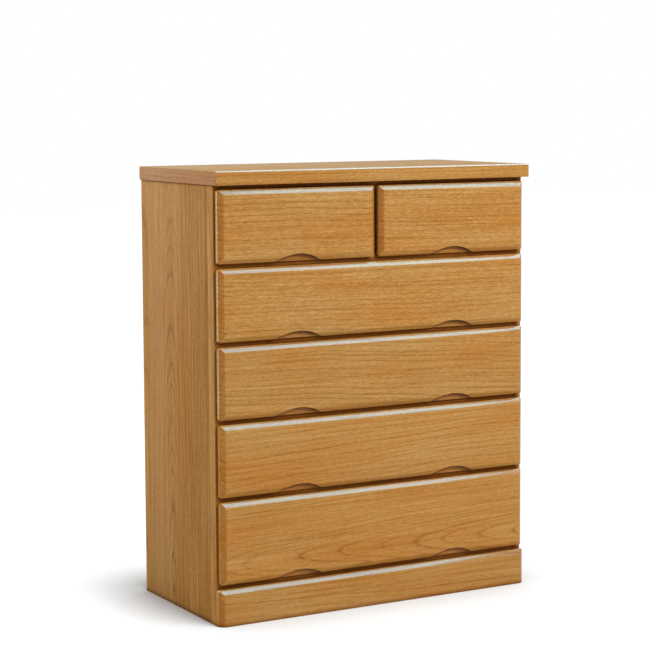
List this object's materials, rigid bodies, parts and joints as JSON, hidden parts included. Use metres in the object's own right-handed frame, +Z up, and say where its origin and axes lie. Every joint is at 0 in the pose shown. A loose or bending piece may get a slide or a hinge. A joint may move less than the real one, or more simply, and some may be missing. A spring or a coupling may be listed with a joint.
{
  "type": "chest of drawers",
  "caption": "Plain wooden chest of drawers with half-width drawers above full-width ones, bevelled fronts, arched finger pulls and a solid base.",
  "frame": {"origin": "on the floor, under the middle of the top slab", "axes": "+X to the right as seen from the front, +Y to the back, +Z up"},
  "size_m": [0.8, 0.39, 0.98],
  "materials": {
    "front_wood": "clear satin lacquer over honey-coloured ash",
    "top_wood": "clear satin lacquer",
    "side_wood": "clear satin lacquer",
    "frame_wood": "clear satin lacquer",
    "box_wood": "bare, pale and straight-grained",
    "inner_wood": "bare, planed",
    "plywood": "bare plywood, sanded",
    "screw_steel": "zinc-plated steel"
  },
  "bodies": {
    "carcass": {"top_panel": "top_wood", "top_front_strip": "top_wood", "left_side_panel": "side_wood", "right_side_panel": "side_wood", "left_front_strip": "frame_wood", "right_front_strip": "frame_wood", "left_rear_strip": "frame_wood", "right_rear_strip": "frame_wood", "back_panel": "plywood", "bottom_panel": "plywood", "base_board": "front_wood", "rear_plinth_rail": "inner_wood", "base_corner_blocks": "inner_wood", "top_front_rail": "frame_wood", "top_rear_rail": "inner_wood", "front_rail_1": "frame_wood", "front_rail_2": "frame_wood", "front_rail_3": "frame_wood", "front_rail_4": "frame_wood", "rear_rail_1": "inner_wood", "bottom_front_rail": "frame_wood", "bottom_rear_rail": "inner_wood", "centre_divider": "frame_wood", "centre_runner": "inner_wood", "row_1_runners": "inner_wood", "row_2_runners": "inner_wood", "row_3_runners": "inner_wood", "row_4_runners": "inner_wood", "row_5_runners": "inner_wood", "top_screws": "screw_steel"},
    "top_left_drawer": {"top_left_drawer_front": "front_wood", "top_left_drawer_left_side": "box_wood", "top_left_drawer_right_side": "box_wood", "top_left_drawer_back": "box_wood", "top_left_drawer_bottom": "plywood"},
    "top_right_drawer": {"top_right_drawer_front": "front_wood", "top_right_drawer_left_side": "box_wood", "top_right_drawer_right_side": "box_wood", "top_right_drawer_back": "box_wood", "top_right_drawer_bottom": "plywood"},
    "drawer_2": {"drawer_2_front": "front_wood", "drawer_2_left_side": "box_wood", "drawer_2_right_side": "box_wood", "drawer_2_back": "box_wood", "drawer_2_bottom": "plywood"},
    "drawer_3": {"drawer_3_front": "front_wood", "drawer_3_left_side": "box_wood", "drawer_3_right_side": "box_wood", "drawer_3_back": "box_wood", "drawer_3_bottom": "plywood"},
    "drawer_4": {"drawer_4_front": "front_wood", "drawer_4_left_side": "box_wood", "drawer_4_right_side": "box_wood", "drawer_4_back": "box_wood", "drawer_4_bottom": "plywood"},
    "drawer_5": {"drawer_5_front": "front_wood", "drawer_5_left_side": "box_wood", "drawer_5_right_side": "box_wood", "drawer_5_back": "box_wood", "drawer_5_bottom": "plywood"}
  },
  "joints": [
    {"name": "top_left_drawer_slide", "type": "slide", "parent": "carcass", "child": "top_left_drawer", "axis": [0, -1, 0], "range_m": [0, 0.27]},
    {"name": "top_right_drawer_slide", "type": "slide", "parent": "carcass", "child": "top_right_drawer", "axis": [0, -1, 0], "range_m": [0, 0.27]},
    {"name": "drawer_2_slide", "type": "slide", "parent": "carcass", "child": "drawer_2", "axis": [0, -1, 0], "range_m": [0, 0.27]},
    {"name": "drawer_3_slide", "type": "slide", "parent": "carcass", "child": "drawer_3", "axis": [0, -1, 0], "range_m": [0, 0.27]},
    {"name": "drawer_4_slide", "type": "slide", "parent": "carcass", "child": "drawer_4", "axis": [0, -1, 0], "range_m": [0, 0.27]},
    {"name": "drawer_5_slide", "type": "slide", "parent": "carcass", "child": "drawer_5", "axis": [0, -1, 0], "range_m": [0, 0.27]}
  ]
}
